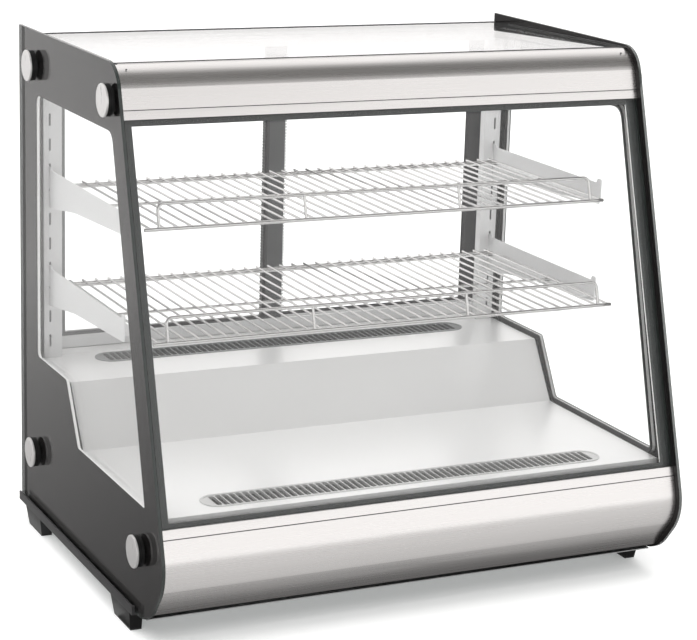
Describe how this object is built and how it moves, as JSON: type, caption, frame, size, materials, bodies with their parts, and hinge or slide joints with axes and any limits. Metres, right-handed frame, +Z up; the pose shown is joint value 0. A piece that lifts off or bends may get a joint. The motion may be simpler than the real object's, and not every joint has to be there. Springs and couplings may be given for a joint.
{
  "type": "hot food display case",
  "caption": "Counter-top heated display case with shaped side glasses, a sloping front glass, a stepped vented deck, wire shelves and sliding rear doors.",
  "frame": {"origin": "on the counter, under the middle of the case to within 3 mm", "axes": "+Z up, -Y towards the customer, +X to the customer's right"},
  "size_m": [0.742, 0.5552, 0.686],
  "materials": {
    "clear_glass": "clear toughened float glass, faint green edge",
    "black_print": "glossy black ceramic print fired on the glass",
    "stainless": "horizontally brushed stainless sheet",
    "deck_steel": "satin stainless sheet",
    "polished_caps": "satin chrome",
    "chrome_wire": "bright chromed welded wire",
    "white_steel": "light satin coated steel",
    "grey_aluminium": "grey anodised extrusion",
    "black_rail": "satin black powder coat",
    "black_plastic": "moulded black plastic",
    "display_glass": "dark red display window",
    "zinc_steel": "zinc coated sheet steel",
    "bright_steel": "plated steel",
    "opal_lens": "opal diffuser"
  },
  "bodies": {
    "root": {"air_duct": "zinc_steel", "base_pan": "zinc_steel", "cable_gland": "black_plastic", "clamp_collars": "black_plastic", "clamp_discs": "polished_caps", "clamp_studs": "bright_steel", "control_plate": "stainless", "controller_body": "black_plastic", "controller_display": "display_glass", "deck": "deck_steel", "door_header": "grey_aluminium", "door_jambs": "grey_aluminium", "door_sill": "white_steel", "fan_frames": "black_plastic", "feet": "black_plastic", "front_glass_border": "black_print", "front_glass_inner": "clear_glass", "front_glass_outer": "clear_glass", "front_glass_spacer": "grey_aluminium", "front_vent_grille": "deck_steel", "heating_element": "bright_steel", "led_housing": "grey_aluminium", "led_lens": "opal_lens", "lower_brackets": "white_steel", "lower_front_panel": "stainless", "lower_glass_strip": "stainless", "rear_panel": "zinc_steel", "rear_panel_screws": "bright_steel", "rear_vent_grille": "deck_steel", "side_borders": "black_print", "side_glass_left": "clear_glass", "side_glass_right": "clear_glass", "side_glass_spacers": "grey_aluminium", "side_inner_glass": "clear_glass", "side_rail_left": "black_rail", "side_rail_right": "black_rail", "switch_bodies": "black_plastic", "temperature_probe": "bright_steel", "terminal_block": "black_plastic", "thermal_cutout": "bright_steel", "top_glass": "clear_glass", "top_glass_supports": "white_steel", "upper_brackets": "white_steel", "upper_front_panel": "stainless", "upper_glass_strip": "stainless", "upright_left": "white_steel", "upright_right": "white_steel"},
    "left_door": {"left_door_frame": "grey_aluminium", "left_door_glass": "clear_glass"},
    "right_door": {"right_door_frame": "grey_aluminium", "right_door_glass": "clear_glass"},
    "upper_shelf": {"upper_shelf": "chrome_wire"},
    "lower_shelf": {"lower_shelf": "chrome_wire"},
    "left_fan": {"fan_rotor_left": "black_plastic"},
    "right_fan": {"fan_rotor_right": "black_plastic"},
    "set_key": {"key_set": "black_plastic"},
    "down_key": {"key_down": "black_plastic"},
    "up_key": {"key_up": "black_plastic"},
    "power_switch": {"power_rocker": "black_plastic"},
    "light_switch": {"light_rocker": "black_plastic"}
  },
  "joints": [
    {"name": "left_door_slide", "type": "slide", "parent": "root", "child": "left_door", "axis": [1, 0, 0], "range_m": [0, 0.31]},
    {"name": "right_door_slide", "type": "slide", "parent": "root", "child": "right_door", "axis": [-1, 0, 0], "range_m": [0, 0.31]},
    {"name": "upper_shelf_lift", "type": "slide", "parent": "root", "child": "upper_shelf", "axis": [0, 0, 1], "range_m": [0, 0.06]},
    {"name": "lower_shelf_lift", "type": "slide", "parent": "root", "child": "lower_shelf", "axis": [0, 0, 1], "range_m": [0, 0.06]},
    {"name": "set_key_press", "type": "slide", "parent": "root", "child": "set_key", "axis": [0, -1, 0], "range_m": [0, 0.0008], "stiffness_N_per_m": 350},
    {"name": "down_key_press", "type": "slide", "parent": "root", "child": "down_key", "axis": [0, -1, 0], "range_m": [0, 0.0008], "stiffness_N_per_m": 350},
    {"name": "up_key_press", "type": "slide", "parent": "root", "child": "up_key", "axis": [0, -1, 0], "range_m": [0, 0.0008], "stiffness_N_per_m": 350},
    {"name": "power_switch_rock", "type": "hinge", "parent": "root", "child": "power_switch", "pos_m": [-0.186, 0.2732, 0.207], "axis": [1, 0, 0], "range_deg": [0, 18]},
    {"name": "light_switch_rock", "type": "hinge", "parent": "root", "child": "light_switch", "pos_m": [-0.152, 0.2732, 0.207], "axis": [1, 0, 0], "range_deg": [0, 18]},
    {"name": "left_fan_spin", "type": "hinge", "parent": "root", "child": "left_fan", "pos_m": [-0.14, 0.202, 0.22], "axis": [0, 0, 1], "continuous": true},
    {"name": "right_fan_spin", "type": "hinge", "parent": "root", "child": "right_fan", "pos_m": [0.14, 0.202, 0.22], "axis": [0, 0, 1], "continuous": true}
  ]
}
